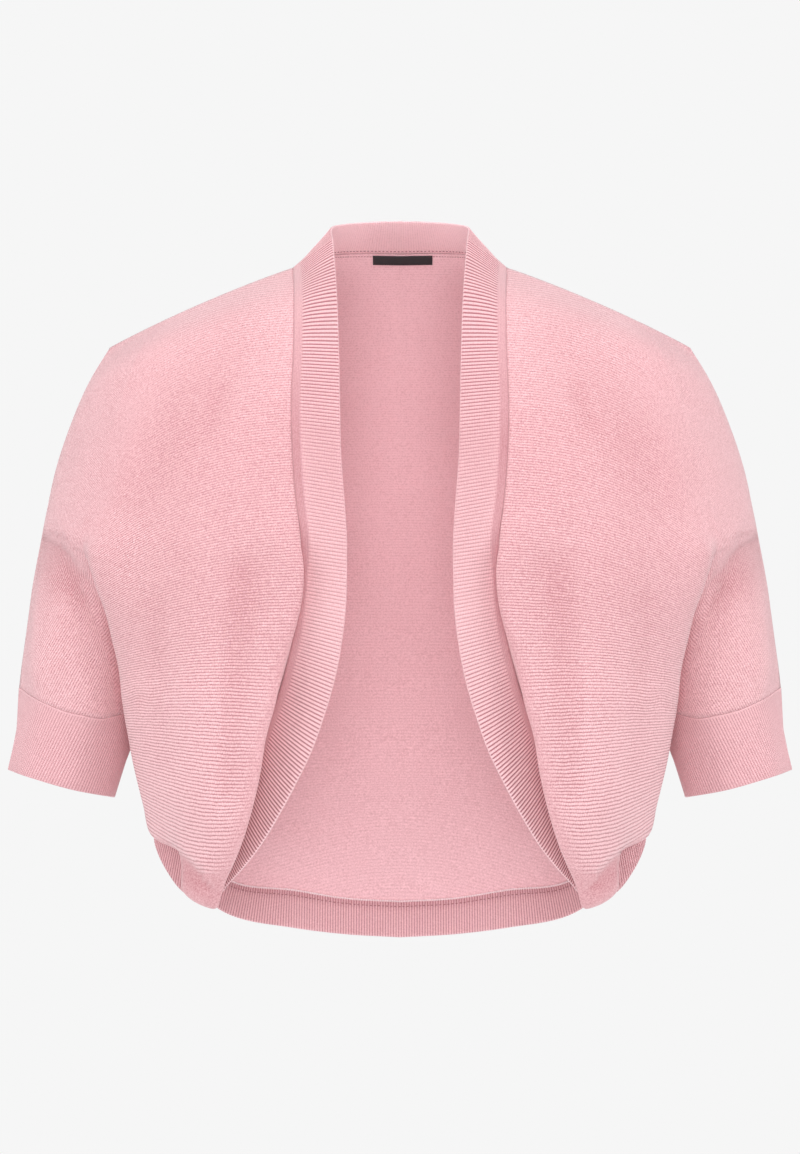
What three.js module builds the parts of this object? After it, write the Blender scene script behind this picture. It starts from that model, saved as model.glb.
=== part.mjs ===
// Knitted shrug with short dolman sleeves, worn form with nobody in it.
// Millimetres. +X is the wearer's left, -Y the front, +Z up.
// The origin lies midway between the high points of the two shoulders.
import * as THREE from 'three';

// Vector arithmetic on [x, y, z] arrays.
const add = (a, b) => [a[0] + b[0], a[1] + b[1], a[2] + b[2]];
const sub = (a, b) => [a[0] - b[0], a[1] - b[1], a[2] - b[2]];
const times = (a, s) => [a[0] * s, a[1] * s, a[2] * s];
const dot = (a, b) => a[0] * b[0] + a[1] * b[1] + a[2] * b[2];
const cross = (a, b) => [a[1] * b[2] - a[2] * b[1], a[2] * b[0] - a[0] * b[2], a[0] * b[1] - a[1] * b[0]];
const size = (a) => Math.hypot(a[0], a[1], a[2]);
const unit = (a) => times(a, 1 / (size(a) || 1));
const between = (a, b, f) => add(times(a, 1 - f), times(b, f));
const mirror = (p) => [-p[0], p[1], p[2]];

// Cloth sizes.
const panelThick = 1.5;
const bandThick = 1.2;
const seamGap = 0.4;
const seamEase = 1.25;
const ribHeight = 0.5;
const ribPitch = 2.4;
const stripWide = 8;

// A smooth curve through points, with each stretch cut into the given number of equal steps.
function smooth(points, steps) {
  const knots = [0];
  for (let i = 1; i < points.length; i++) {
    knots.push(knots[i - 1] + Math.max(size(sub(points[i], points[i - 1])), 0.01));
  }
  const slope = (i, j) => times(sub(points[j], points[i]), 1 / (knots[j] - knots[i]));
  const last = points.length - 1;
  const lean = points.map((_, i) => {
    if (i === 0) return slope(0, 1);
    if (i === last) return slope(last - 1, last);
    const before = knots[i] - knots[i - 1];
    const after = knots[i + 1] - knots[i];
    const share = after / (before + after);
    return add(times(slope(i - 1, i), share), times(slope(i, i + 1), 1 - share));
  });
  const out = [points[0]];
  for (let i = 0; i < last; i++) {
    const long = knots[i + 1] - knots[i];
    for (let k = 1; k <= steps[i]; k++) {
      const t = k / steps[i];
      const a = times(points[i], 2 * t ** 3 - 3 * t ** 2 + 1);
      const b = times(points[i + 1], 3 * t ** 2 - 2 * t ** 3);
      const c = times(lean[i], (t ** 3 - 2 * t ** 2 + t) * long);
      const d = times(lean[i + 1], (t ** 3 - t ** 2) * long);
      out.push(add(add(a, b), add(c, d)));
    }
  }
  return out;
}

// Points at equal steps of length along a polyline.
function evenly(line, count) {
  const reach = [0];
  for (let i = 1; i < line.length; i++) reach.push(reach[i - 1] + size(sub(line[i], line[i - 1])));
  const out = [];
  for (let k = 0; k < count; k++) {
    const s = (reach[reach.length - 1] * k) / (count - 1);
    let i = 0;
    while (i < line.length - 2 && reach[i + 1] < s) i++;
    out.push(between(line[i], line[i + 1], (s - reach[i]) / (reach[i + 1] - reach[i])));
  }
  return out;
}

// A sheet through rows of named points: smooth along each row, then smooth down each column.
function loft(rows, across, down) {
  const sampled = rows.map((row) => smooth(row, across));
  const columns = sampled[0].map((_, j) => smooth(sampled.map((row) => row[j]), down));
  return columns[0].map((_, i) => columns.map((column) => column[i]));
}

// Sections of the left front, a row each from the shoulder down. zEdge and zOver are the heights at
// the band seam and at the top of the arm, bow lifts the middle. Every other pair is out, depth.
const frontUpper = [
  { zEdge: -4, zOver: -63, bow: 3, edge: [79, 4], roll: [88, 3], chest: [105, 3], flank: [132, 4],
    hip: [150, 4], crest: [165, 4], crook: [180, 4], armIn: [190, 5], arm: [198, 5], armOut: [207, 5],
    over: [215, 5] },
  { zEdge: -32, zOver: -91, bow: 4, edge: [77.5, -51], roll: [86, -52], chest: [105, -52],
    flank: [135, -50], hip: [158, -47], crest: [175, -44], crook: [192, -39], armIn: [206, -32],
    arm: [218, -22], armOut: [227, -9], over: [231, 5] },
  { zEdge: -72, zOver: -124, bow: 3, edge: [77.6, -80], roll: [87, -81], chest: [106, -80],
    flank: [138, -76], hip: [163, -70], crest: [184, -61], crook: [204, -49], armIn: [219, -37],
    arm: [231, -24], armOut: [241, -9], over: [245, 5] },
  { zEdge: -105, zOver: -155, bow: 2, edge: [78.7, -96], roll: [88, -98], chest: [110, -98.5],
    flank: [143, -94], hip: [170, -86], crest: [193, -75], crook: [213, -60], armIn: [229, -46],
    arm: [242, -29], armOut: [251, -12], over: [255, 5] },
  { zEdge: -140, zOver: -182, bow: 0, edge: [78, -108], roll: [88, -109], chest: [112, -109.5],
    flank: [147, -104], hip: [174, -94.5], crest: [200, -82], crook: [221, -64], armIn: [236, -48],
    arm: [248, -31], armOut: [257, -13], over: [260.8, 5] },
  { zEdge: -178, zOver: -203, bow: 0, edge: [75, -114.5], roll: [85, -116], chest: [112, -116.5],
    flank: [149, -110.5], hip: [180, -99.5], crest: [213, -82], crook: [230, -64], armIn: [241, -50],
    arm: [252, -34], armOut: [261, -14], over: [265, 5] },
  { zEdge: -203, zOver: -218, bow: 0, edge: [72, -116], roll: [74, -120], chest: [112, -118.5],
    flank: [151, -112.5], hip: [185, -101], crest: [227, -78], crook: [228, -60], armIn: [239, -50],
    arm: [252, -36], armOut: [263, -15], over: [268, 5] },
  { zEdge: -225, zOver: -240, bow: 0, edge: [72.5, -113], roll: [70, -121], chest: [111, -119],
    flank: [152, -113], hip: [186, -101], crest: [221, -80], crook: [215, -55], armIn: [228, -47],
    arm: [248, -38], armOut: [265, -17], over: [272, 5] },
  { zEdge: -249, zOver: -262, bow: 0, edge: [74.5, -110], roll: [71, -120], chest: [112, -118.5],
    flank: [152, -112], hip: [184, -99.5], crest: [213, -78], crook: [204, -45], armIn: [219, -45],
    arm: [244, -40], armOut: [267, -20], over: [275, 5] },
  { zEdge: -271, zOver: -284, bow: 0, edge: [77, -107], roll: [76, -118.5], chest: [116, -117],
    flank: [152, -110.5], hip: [181, -96], crest: [207.5, -74], crook: [195, -28], armIn: [211, -42],
    arm: [238, -43], armOut: [268, -23], over: [278, 5] },
  { zEdge: -294, zOver: -302, bow: 0, edge: [82, -101], roll: [83.5, -116], chest: [120, -115],
    flank: [152, -108], hip: [179, -92], crest: [203, -68], crook: [190, -13], armIn: [206, -37],
    arm: [232, -44], armOut: [267, -27], over: [280.5, 5] },
];

// Sections of the left front below the underarm point, down over the lowest fold and under it.
// The first row meets the underarm, the last lies along the band seam. Each triple is out, depth, height.
const frontLower = [
  { edge: [88, -93, -316], roll: [90.5, -112, -325], chest: [124, -112.5, -323],
    flank: [152, -105, -323], hip: [178, -87, -324], crest: [200, -62, -325], side: [188, 0, -330] },
  { edge: [96, -84, -337], roll: [97, -107, -348], chest: [127, -108, -348], flank: [152, -100, -347],
    hip: [176, -80, -347], crest: [197.5, -51, -348], side: [185, 6, -343] },
  { edge: [104, -74, -358], roll: [101.5, -101, -375], chest: [129, -103, -374], flank: [151, -95, -372],
    hip: [174, -74, -371], crest: [194, -42, -371], side: [183.5, 12, -356] },
  { edge: [113, -61, -379], roll: [107.5, -94, -401], chest: [131, -97, -401], flank: [150.5, -88, -398],
    hip: [172, -66, -394], crest: [189.5, -34, -392], side: [182.5, 18, -368] },
  { edge: [124, -47, -399], roll: [116, -83, -428], chest: [135, -87, -428], flank: [151, -76, -423],
    hip: [168, -55, -415], crest: [186, -28, -407], side: [181.7, 22, -378] },
  { edge: [134, -36, -414], roll: [127.3, -65, -454], chest: [142, -68, -455], flank: [155, -58, -446],
    hip: [164, -46, -429], crest: [184, -24, -417], side: [181.2, 25.2, -382] },
  { edge: [142, -27, -425], roll: [136.5, -48, -475], chest: [147, -46, -471.5], flank: [159, -39, -462],
    hip: [158, -36, -439], crest: [182.5, -19, -423], side: [180.8, 27, -385] },
  { edge: [146, -22, -431], roll: [144, -40, -462], chest: [150, -37, -461], flank: [159, -29, -452],
    hip: [159.5, -22, -434], crest: [178, -3, -413], side: [180.4, 28, -387.3] },
  { edge: [150, -19, -435.5], roll: [150, -19, -435.5], chest: [153, -13, -434], flank: [157, -6, -428],
    hip: [164, 3, -415], crest: [173, 15, -401], side: [180, 29, -389.5] },
];
// How far the hidden tuck behind the roll stands off the line from band seam to roll: out, depth, height.
const tuckOff = [
  [3, 0, 1], [4, -1, 2], [4, -1, 3], [5, -1, 4], [5, -1, 6], [8, -3, 7], [8, -4, 9], [6, -4, 4], [0, 0, 0],
];
// The left sleeve's end on the cuff seam, front then back: out, depth, height.
const sleeveEndFront = {
  armIn: [203, -26, -334], arm: [227, -42, -336], armOut: [260, -32, -326], over: [282, 5, -315],
};
const sleeveEndBack = {
  armIn: [202, 34, -336], arm: [229, 48, -337], armOut: [264, 36, -327], over: [282, 5, -315],
};

// Sections of the back's left half, a row each. zMid, zNeck and zOver are the heights at the centre,
// below the high shoulder point and at the top of the arm. Every other pair is out, depth.
const backUpper = [
  { zMid: -28, zNeck: -25, zOver: -91, bow: 4, centre: [0, 90], nape: [42, 81], neck: [80, 52],
    blade: [110, 50], flank: [150, 46], crook: [190, 38], armIn: [206, 31], arm: [218, 22],
    armOut: [227, 14], over: [231, 5] },
  { zMid: -60, zNeck: -62, zOver: -124, bow: 3, centre: [0, 98], nape: [42, 93], neck: [80, 80],
    blade: [112, 77], flank: [155, 70], crook: [201, 53], armIn: [219, 41], arm: [231, 30],
    armOut: [241, 18], over: [245, 5] },
  { zMid: -95, zNeck: -97, zOver: -155, bow: 2, centre: [0, 103], nape: [42, 101], neck: [80, 95],
    blade: [115, 90], flank: [160, 80], crook: [210, 61], armIn: [229, 49], arm: [242, 35],
    armOut: [251, 20], over: [255, 5] },
  { zMid: -130, zNeck: -132, zOver: -182, bow: 0, centre: [0, 106], nape: [42, 105], neck: [80, 101],
    blade: [118, 96], flank: [165, 85], crook: [216, 63], armIn: [235, 50], arm: [248, 36],
    armOut: [257, 21], over: [260.8, 5] },
  { zMid: -170, zNeck: -171, zOver: -203, bow: 0, centre: [0, 106], nape: [42, 105], neck: [80, 102],
    blade: [120, 97], flank: [168, 84], crook: [218, 61], armIn: [239, 51], arm: [252, 38],
    armOut: [261, 22], over: [265, 5] },
  { zMid: -205, zNeck: -206, zOver: -218, bow: 0, centre: [0, 104], nape: [42, 103.5], neck: [80, 101],
    blade: [121, 95], flank: [168, 80], crook: [214, 56], armIn: [238, 50], arm: [253, 39],
    armOut: [263, 23], over: [268, 5] },
  { zMid: -230, zNeck: -231, zOver: -240, bow: 0, centre: [0, 102], nape: [42, 101.5], neck: [80, 99],
    blade: [121, 93], flank: [166, 77], crook: [208, 50], armIn: [232, 48], arm: [251, 41],
    armOut: [266, 24], over: [272, 5] },
  { zMid: -255, zNeck: -256, zOver: -262, bow: 0, centre: [0, 100], nape: [42, 99.5], neck: [80, 97],
    blade: [121, 90], flank: [163, 73], crook: [200, 42], armIn: [223, 46], arm: [248, 43],
    armOut: [268, 26], over: [275, 5] },
  { zMid: -280, zNeck: -280, zOver: -284, bow: 0, centre: [0, 98], nape: [42, 97.5], neck: [80, 95],
    blade: [121, 88], flank: [160, 69], crook: [194, 30], armIn: [214, 45], arm: [243, 45],
    armOut: [269, 28], over: [278, 5] },
  { zMid: -303, zNeck: -304, zOver: -302, bow: 0, centre: [0, 96.5], nape: [42, 96], neck: [80, 94],
    blade: [121, 86], flank: [158, 66], crook: [190, 16], armIn: [206, 42], arm: [237, 47],
    armOut: [269, 31], over: [280.5, 5] },
];
// Sections of the back's left half below the underarm point; the last lies along the hem band seam.
const backLower = [
  { centre: [0, 95.5, -328], nape: [42, 95, -328], neck: [80, 93, -328], blade: [121, 85, -327],
    flank: [157, 63, -326], side: [188, 0, -330] },
  { centre: [0, 95, -352], nape: [42, 94.5, -352], neck: [80, 92.5, -351], blade: [121, 84, -349],
    flank: [157, 63, -345], side: [185, 6, -343] },
  { centre: [0, 94.5, -375], nape: [42, 94, -375], neck: [80, 92, -373], blade: [122, 83, -369],
    flank: [158, 64, -362], side: [183.5, 12, -356] },
  { centre: [0, 94.5, -398], nape: [42, 94, -397], neck: [80, 91.5, -394], blade: [122, 83, -388],
    flank: [159, 64, -378], side: [182.5, 18, -368] },
  { centre: [0, 95, -421], nape: [42, 94.5, -419], neck: [80, 91.5, -415], blade: [123, 82, -406],
    flank: [162, 62.5, -389], side: [181.7, 22, -378] },
  { centre: [0, 96, -445], nape: [42, 95, -443], neck: [80, 91, -436], blade: [124, 81, -425],
    flank: [164, 60, -397], side: [181.2, 25.2, -382] },
  { centre: [0, 97, -463], nape: [42, 96, -460], neck: [80, 91, -453], blade: [125, 80, -444],
    flank: [166, 57, -403], side: [180.8, 27, -385] },
  { centre: [0, 97.5, -472], nape: [42, 96, -469], neck: [80, 91, -462], blade: [126, 79, -454],
    flank: [167, 54.5, -408], side: [180.4, 28, -387.3] },
  { centre: [0, 98, -479], nape: [42, 96, -476.5], neck: [80, 90, -470], blade: [126.5, 77.5, -463],
    flank: [168, 52, -413], side: [180, 29, -389.5] },
];
// The band seam round the back of the neck, from the centre to the high shoulder point.
const neckSeam = [[0, 76, 10.5], [30, 70.5, 10.5], [55, 52, 8], [72, 26, 2.5], [79, 4, -4]];

// Steps between the columns and between the rows.
const frontAcross = [1, 1, 2, 2, 2, 2, 2];
const backAcross = [2, 2, 2, 2, 2];
const sleeveAcross = [2, 2, 2, 2];
const upperDown = [2, 2, 2, 2, 2, 1, 1, 1, 1, 1, 1];
const lowerDown = [1, 1, 1, 1, 2, 2, 2, 1];
const napeSteps = backAcross[0] + backAcross[1];

// Heights along an upper section: straight from inner to outer height, raised by the bow.
const placed = (row, name, inner, zInner) => {
  const [out, deep] = row[name];
  const f = (out - inner) / (row.over[0] - inner);
  return [out, deep, zInner + (row.zOver - zInner) * f + row.bow * 4 * f * (1 - f)];
};
const bodyNames = ['edge', 'roll', 'chest', 'flank', 'hip', 'crest', 'crook'];
const armNames = ['crook', 'armIn', 'arm', 'armOut', 'over'];
const withTuck = (points, off) =>
  [points[0], add(between(points[0], points[1], 0.5), off), ...points.slice(1)];
const frontRow = (row, names) => names.map((name) => placed(row, name, row.edge[0], row.zEdge));
const backRow = (row, names) =>
  names.map((name) => {
    if (name === 'centre') return [row.centre[0], row.centre[1], row.zMid];
    if (name === 'nape') return [row.nape[0], row.nape[1], (row.zMid + row.zNeck) / 2];
    return placed(row, name, row.neck[0], row.zNeck);
  });

// Front, left: the body part down to the band seam, and the sleeve part down to the cuff seam.
const lowerNames = ['edge', 'roll', 'chest', 'flank', 'hip', 'crest', 'side'];
const frontBodyRows = [
  ...frontUpper.map((row) => withTuck(frontRow(row, bodyNames), [0, 0, 0])),
  ...frontLower.map((row, i) =>
    withTuck(lowerNames.map((name) => row[name]), tuckOff[i])),
];
const frontBody = loft(frontBodyRows, frontAcross, [...upperDown, ...lowerDown]);
const underarm = frontLower[0].side;
const frontSleeve = loft(
  [...frontUpper.map((row) => frontRow(row, armNames)),
  [underarm, ...armNames.slice(1).map((name) => sleeveEndFront[name])]],
  sleeveAcross, upperDown);

// Back, left half: its first row is the neck seam followed by the shoulder line.
const backNames = ['centre', 'nape', 'neck', 'blade', 'flank', 'crook'];
const backLowerNames = ['centre', 'nape', 'neck', 'blade', 'flank', 'side'];
const shoulder = smooth(frontRow(frontUpper[0], [...bodyNames, ...armNames.slice(1)]), Array(10).fill(3));
const shoulderSteps = backAcross[2] + backAcross[3] + backAcross[4] + 8;
const shoulderPoints = evenly(shoulder, shoulderSteps + 1);
const neckPoints = evenly(smooth(neckSeam, [4, 4, 4, 4]), napeSteps + 1);
const topRow = [...neckPoints.slice(0, -1), ...shoulderPoints];
// A sheet whose first row is already sampled.
function loftFrom(first, rows, across, down) {
  const sampled = [first, ...rows.map((row) => smooth(row, across))];
  const columns = sampled[0].map((_, j) => smooth(sampled.map((row) => row[j]), down));
  return columns[0].map((_, i) => columns.map((column) => column[i]));
}
const bodyCut = backAcross.reduce((a, b) => a + b, 0);
const backBody = loftFrom(topRow.slice(0, bodyCut + 1), [
  ...backUpper.map((row) => backRow(row, backNames)),
  ...backLower.map((row) => backLowerNames.map((name) => row[name])),
], backAcross, [...upperDown, ...lowerDown]);
const backSleeve = loftFrom(topRow.slice(bodyCut), [
  ...backUpper.map((row) => backRow(row, armNames)),
  [underarm, ...armNames.slice(1).map((name) => sleeveEndBack[name])],
], sleeveAcross, upperDown);

// A surface made of grids that share edges: equal points are one point.
class Surface {
  constructor() {
    this.points = [];
    this.faces = [];
    this.known = new Map();
  }
  point(p) {
    const key = p.map((v) => Math.round(v * 200)).join(' ');
    if (!this.known.has(key)) {
      this.known.set(key, this.points.length);
      this.points.push(p);
    }
    return this.known.get(key);
  }
  grid(rows, turned) {
    for (let i = 0; i + 1 < rows.length; i++) {
      for (let j = 0; j + 1 < rows[i].length; j++) {
        const corners = [rows[i][j], rows[i][j + 1], rows[i + 1][j + 1], rows[i + 1][j]];
        const [a, b, c, d] = corners.map((p) => this.point(p));
        for (const f of [[a, b, d], [b, c, d]]) {
          if (f[0] === f[1] || f[1] === f[2] || f[0] === f[2]) continue;
          this.faces.push(turned ? [f[0], f[2], f[1]] : f);
        }
      }
    }
  }
  normals() {
    const sum = this.points.map(() => [0, 0, 0]);
    for (const f of this.faces) {
      const [a, b, c] = f.map((i) => this.points[i]);
      const n = cross(sub(b, a), sub(c, a));
      f.forEach((i) => (sum[i] = add(sum[i], n)));
    }
    return sum.map(unit);
  }
  rim() {
    const count = new Map();
    for (const f of this.faces) {
      for (let k = 0; k < 3; k++) count.set(f[k] + ' ' + f[(k + 1) % 3], [f[k], f[(k + 1) % 3]]);
    }
    return [...count.values()].filter(([a, b]) => !count.has(b + ' ' + a));
  }
  // Unit direction from each rim point into the sheet, square to the rim.
  inward() {
    const rim = this.rim();
    const along = new Map();
    for (const [a, b] of rim) {
      const way = unit(sub(this.points[b], this.points[a]));
      for (const i of [a, b]) along.set(i, add(along.get(i) || [0, 0, 0], way));
    }
    const normal = this.normals();
    const out = new Map();
    for (const [i, t] of along) out.set(i, unit(cross(normal[i], unit(t))));
    return out;
  }
}

const mirrored = (rows) => rows.map((row) => row.map(mirror));
const frontLeft = new Surface();
frontLeft.grid(frontBody, false);
frontLeft.grid(frontSleeve, false);
const frontRight = new Surface();
frontRight.grid(mirrored(frontBody), true);
frontRight.grid(mirrored(frontSleeve), true);
const back = new Surface();
back.grid(backBody, true);
back.grid(backSleeve, true);
back.grid(mirrored(backBody), false);
back.grid(mirrored(backSleeve), false);

// The band: its seam edge uses the panels' own rim points, and the free edge is a row per front or
// hem section.
const columnOf = (grid, j) => grid.map((row) => row[j]);
const frontFree = smooth([
  [49.5, -5, 16], [45.8, -58, -30], [44, -88, -74], [43.2, -105, -109], [42.3, -115, -145],
  [39.3, -121, -185],
  [38, -123, -208], [38.2, -122, -230], [39, -120, -256], [41.8, -117, -280], [47, -112, -307],
  [54, -106, -331], [63.5, -99, -358], [75.8, -89, -383.5], [88.5, -78, -407], [101.8, -64, -429],
  [114, -51, -445],
  [125.5, -38, -458], [133, -29, -467], [140, -21, -471.5],
], [...upperDown, ...lowerDown]);
const napeFree = smooth(
  [[0, 56, 34], [24, 53, 33], [42, 38, 30.4], [50.5, 15, 26], [49.5, -5, 16]], [8, 8, 8, 8]);
const cornerFree = smooth([
  [140, -21, -471.5], [150, -13, -471], [161, -7, -465], [172, 0, -451.5], [181, 12, -434],
  [183, 26, -422],
], frontAcross.slice(2));
const hemFree = smooth([
  [0, 81.5, -505], [42, 79, -502.4], [80, 74, -497.4], [132, 58, -484.5], [171, 42, -446], [183, 26, -422],
], backAcross);
const joined = (...lines) => lines.flatMap((line, i) => (i ? line.slice(1) : line));
const lastRow = (grid) => grid[grid.length - 1];
const cornerSteps = frontAcross[0] + frontAcross[1];
const neckHalfSeam = joined(neckPoints, columnOf(frontBody, 0), lastRow(frontBody).slice(cornerSteps));
const neckHalfFree = joined(evenly(napeFree, napeSteps + 1), frontFree, cornerFree);
const wholeLine = (half) => [...half.slice(1).reverse().map(mirror), ...half];
const neckBand = {
  seam: wholeLine(neckHalfSeam), free: wholeLine(neckHalfFree), ring: false, strip: stripWide, turned: true,
};
const hemBand = {
  seam: wholeLine(lastRow(backBody)), free: wholeLine(hemFree), ring: false, strip: stripWide, turned: false,
};

// Cuffs: a ring on the sleeve end and a smaller ring at the rim, leaning outward with the arm.
const cuffSeam = [...lastRow(frontSleeve), ...lastRow(backSleeve).slice(1, -1).reverse()];
const rimFront = smooth([
  [211.5, 2, -395.5], [217, -25, -394], [240, -41, -389], [273, -31, -380], [291, 4, -375.5],
], sleeveAcross);
const rimBack = smooth([
  [211.5, 2, -395.5], [216, 31, -397], [241, 44, -392], [275, 34, -382], [291, 4, -375.5],
], sleeveAcross);
const cuffRim = [...rimFront, ...rimBack.slice(1, -1).reverse()];
const cuffLeft = { seam: cuffSeam, free: cuffRim, ring: true, strip: 2, turned: true };
const cuffRight = {
  seam: cuffSeam.map(mirror), free: cuffRim.map(mirror), ring: true, strip: 2, turned: false,
};

// How far two sheets that meet at a seam draw back, so that their walls leave the seam gap.
function drawBack(inA, inB, thick) {
  const half = Math.acos(Math.max(-1, Math.min(1, dot(inA, inB)))) / 2;
  const mitre = (seamEase * thick) / 2 / Math.max(Math.tan(half), 0.02);
  return Math.min(mitre + seamGap / 2 / Math.max(Math.sin(half), 0.1), 6);
}

// Directions into a band from its seam.
const bandIn = (band) => band.seam.map((p, i) => unit(sub(band.free[i], p)));
const bands = [neckBand, hemBand, cuffLeft, cuffRight];
const panels = [frontLeft, frontRight, back];
const bandDirections = bands.map(bandIn);

// Every seam point of every piece, with its direction into the piece.
const seamPoints = [];
const meet = (piece, p, direction, thick, move) => seamPoints.push({ piece, p, direction, thick, move });
const panelMoves = panels.map((panel) => panel.points.map(() => [0, 0, 0]));
panels.forEach((panel, k) => {
  for (const [i, direction] of panel.inward()) {
    meet(panel, panel.points[i], direction, panelThick, (by) => (panelMoves[k][i] = by));
  }
});
const bandMoves = bands.map((band) => band.seam.map(() => 0));
bands.forEach((band, k) => {
  const thick = bandThick + 2 * ribHeight;
  band.seam.forEach((p, i) => {
    meet(band, p, bandDirections[k][i], thick, (by) => (bandMoves[k][i] = size(by)));
  });
});
// Each point draws back for the points of other pieces at the same place, or else for the nearest one.
for (const one of seamPoints) {
  const others = seamPoints.filter((other) => other.piece !== one.piece);
  const away = others.map((other) => size(sub(other.p, one.p)));
  const reach = Math.max(Math.min(...away), 0.01);
  const met = others.filter((_, j) => away[j] <= reach);
  const backs = met.map((other) =>
    drawBack(one.direction, other.direction, Math.max(one.thick, other.thick)));
  one.back = Math.max(...backs);
}
for (const one of seamPoints) one.move(times(one.direction, one.back));
panels.forEach((panel, k) => (panel.points = panel.points.map((p, i) => add(p, panelMoves[k][i]))));

// A wall of one thickness on a surface.
function wall(surface, thick) {
  const normal = surface.normals();
  const outer = surface.points.map((p, i) => add(p, times(normal[i], thick / 2)));
  const inner = surface.points.map((p, i) => add(p, times(normal[i], -thick / 2)));
  const count = outer.length;
  const insides = surface.faces.map(([a, b, c]) => [a + count, c + count, b + count]);
  const faces = [...surface.faces, ...insides];
  for (const [a, b] of surface.rim()) faces.push([b, a, a + count], [b, a + count, b + count]);
  return { points: [...outer, ...inner], faces };
}

// A ribbed wall: plain inside, and outside a smooth strip along the seam, then one ridge and one
// groove a rib.
function ribbed(band, moves) {
  const count = band.seam.length;
  const spans = band.ring ? count : count - 1;
  const into = bandIn(band);
  const seam = band.seam.map((p, i) => add(p, times(into[i], moves[i])));
  const free = band.free;
  const mid = new Surface();
  const rows = [band.ring ? [...seam, seam[0]] : seam, band.ring ? [...free, free[0]] : free];
  mid.grid(rows, band.turned);
  const all = mid.normals();
  const seamNormal = seam.map((p) => all[mid.point(p)]);
  const freeNormal = free.map((p) => all[mid.point(p)]);
  const points = [];
  const faces = [];
  const put = (p) => points.push(p) - 1;
  const lift = (p, n, h) => put(add(p, times(n, h)));
  const half = bandThick / 2;
  const outSeam = seam.map((p, i) => lift(p, seamNormal[i], half));
  const inSeam = seam.map((p, i) => lift(p, seamNormal[i], -half));
  const inFree = free.map((p, i) => lift(p, freeNormal[i], -half));
  const face = (a, b, c) => faces.push(band.turned ? [a, c, b] : [a, b, c]);
  const first = { stitch: null, free: null };
  let stitchEnd = null;
  let freeEnd = null;
  for (let s = 0; s < spans; s++) {
    const e = (s + 1) % count;
    const long = (size(sub(seam[e], seam[s])) + size(sub(free[e], free[s]))) / 2;
    const steps = 2 * Math.max(1, Math.round(long / ribPitch));
    const stitch = [];
    const rim = [];
    for (let k = 0; k <= steps; k++) {
      const f = k / steps;
      const p = between(seam[s], seam[e], f);
      const q = between(free[s], free[e], f);
      const n = unit(between(seamNormal[s], seamNormal[e], f));
      const m = unit(between(freeNormal[s], freeNormal[e], f));
      const at = Math.min(band.strip / size(sub(q, p)), 0.5);
      const h = half + (k % 2 ? ribHeight : 0);
      const closing = band.ring && s === spans - 1 && k === steps;
      const known = k === 0 ? [stitchEnd, freeEnd] : closing ? [first.stitch, first.free] : [null, null];
      stitch.push(known[0] ?? lift(between(p, q, at), unit(between(n, m, at)), h));
      rim.push(known[1] ?? lift(q, m, h));
    }
    if (s === 0) [first.stitch, first.free] = [stitch[0], rim[0]];
    stitchEnd = stitch[steps];
    freeEnd = rim[steps];
    // Smooth strip, ribs, free edge, inside and seam edge of this span.
    const turn = steps / 2;
    for (let k = 0; k < steps; k++) {
      face(k < turn ? outSeam[s] : outSeam[e], stitch[k + 1], stitch[k]);
      face(stitch[k], stitch[k + 1], rim[k + 1]);
      face(stitch[k], rim[k + 1], rim[k]);
      face(rim[k], rim[k + 1], k < turn ? inFree[s] : inFree[e]);
    }
    face(outSeam[s], outSeam[e], stitch[turn]);
    face(inFree[s], rim[turn], inFree[e]);
    face(inSeam[s], inFree[e], inSeam[e]);
    face(inSeam[s], inFree[s], inFree[e]);
    face(outSeam[s], inSeam[e], outSeam[e]);
    face(outSeam[s], inSeam[s], inSeam[e]);
  }
  if (!band.ring) {
    const end = count - 1;
    face(outSeam[0], first.stitch, inSeam[0]);
    face(first.stitch, inFree[0], inSeam[0]);
    face(first.stitch, first.free, inFree[0]);
    face(outSeam[end], inSeam[end], stitchEnd);
    face(stitchEnd, inSeam[end], inFree[end]);
    face(stitchEnd, inFree[end], freeEnd);
  }
  return { points, faces };
}

// Open band ends draw back along the band so that the two bands leave the seam gap between them.
for (const edge of ['seam', 'free']) {
  const lines = [neckBand[edge], hemBand[edge]];
  for (const [end, next] of [[0, 1], [-1, -2]]) {
    const ways = lines.map((line) => unit(sub(line.at(next), line.at(end))));
    const back = drawBack(ways[0], ways[1], bandThick + 2 * ribHeight);
    lines.forEach((line, k) => {
      line[end < 0 ? line.length - 1 : 0] = add(line.at(end), times(ways[k], back));
    });
  }
}

// The label: a small plate on the inside of the back, just under the neck seam, made from the
// back's points.
const labelWide = 45;
const labelTall = 7.5;
const labelThick = 1;
const labelOff = 0.5;
const labelTop = 1.6;
const labelShift = 2;
const labelSpans = 6;
// The point of a row at a given distance out, on the straight line between its points.
function atOut(row, out) {
  const j = Math.max(1, row.findIndex((p) => p[0] >= out));
  return between(row[j - 1], row[j], (out - row[j - 1][0]) / (row[j][0] - row[j - 1][0]));
}
function label() {
  const place = (x, down) => {
    const top = atOut(backBody[0], Math.abs(x));
    const below = atOut(backBody[1], Math.abs(x));
    const p = between(top, below, down / size(sub(below, top)));
    return [x, p[1], p[2]];
  };
  const rows = [labelTop, labelTop + labelTall].map((down) =>
    Array.from({ length: labelSpans + 1 }, (_, k) => {
      return place(labelShift + labelWide * (k / labelSpans - 0.5), down);
    }));
  const surface = new Surface();
  surface.grid(rows, true);
  const normal = surface.normals();
  const inside = panelThick / 2 + labelOff + labelThick / 2;
  surface.points = surface.points.map((p, i) => add(p, times(normal[i], inside)));
  return wall(surface, labelThick);
}

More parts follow.
